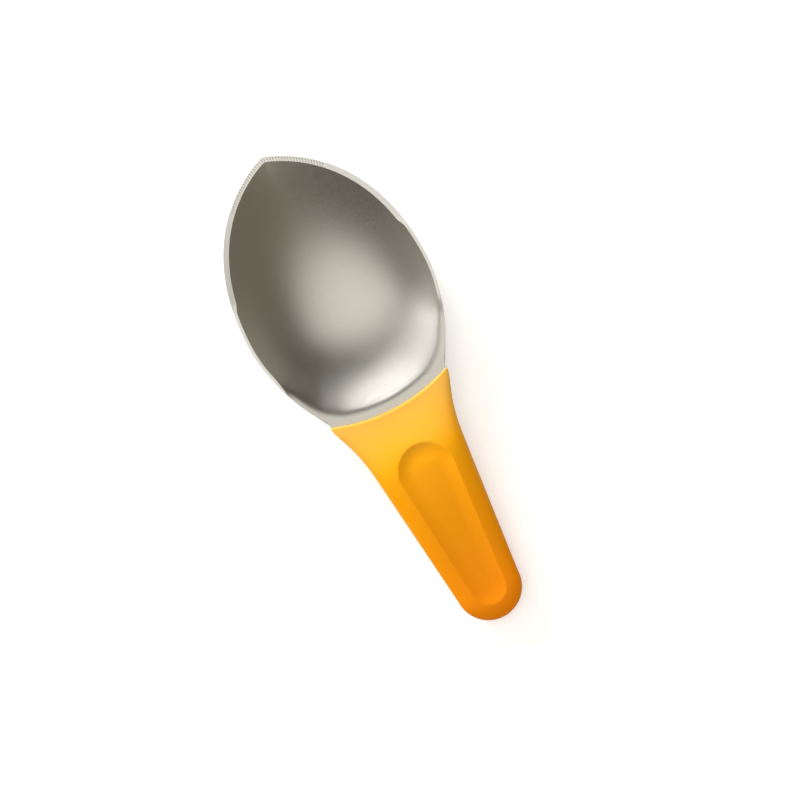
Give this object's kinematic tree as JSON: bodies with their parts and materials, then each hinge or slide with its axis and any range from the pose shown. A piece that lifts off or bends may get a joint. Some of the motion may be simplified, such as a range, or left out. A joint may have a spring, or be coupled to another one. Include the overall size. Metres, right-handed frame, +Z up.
{
  "type": "watermelon cutter",
  "caption": "Leaf-shaped stainless steel fruit scoop with a bevelled, serrated tip and a tang held in a tapered two-shell plastic handle with a thumb recess.",
  "frame": {"origin": "on the table, below the middle of the tool's box, as it lies on the belly of the scoop and the flat under the handle", "axes": "+Y along the tool towards the serrated tip, +Z up out of the scoop's open side, +X to the right of the tip seen from above"},
  "size_m": [0.0828, 0.214, 0.028],
  "materials": {
    "satin_steel": "satin brushed stainless steel",
    "handle_plastic": "satin moulded polypropylene, orange-yellow"
  },
  "bodies": {
    "root": {"scoop_with_tang": "satin_steel", "handle_top_shell": "handle_plastic", "handle_bottom_shell": "handle_plastic"}
  },
  "joints": []
}
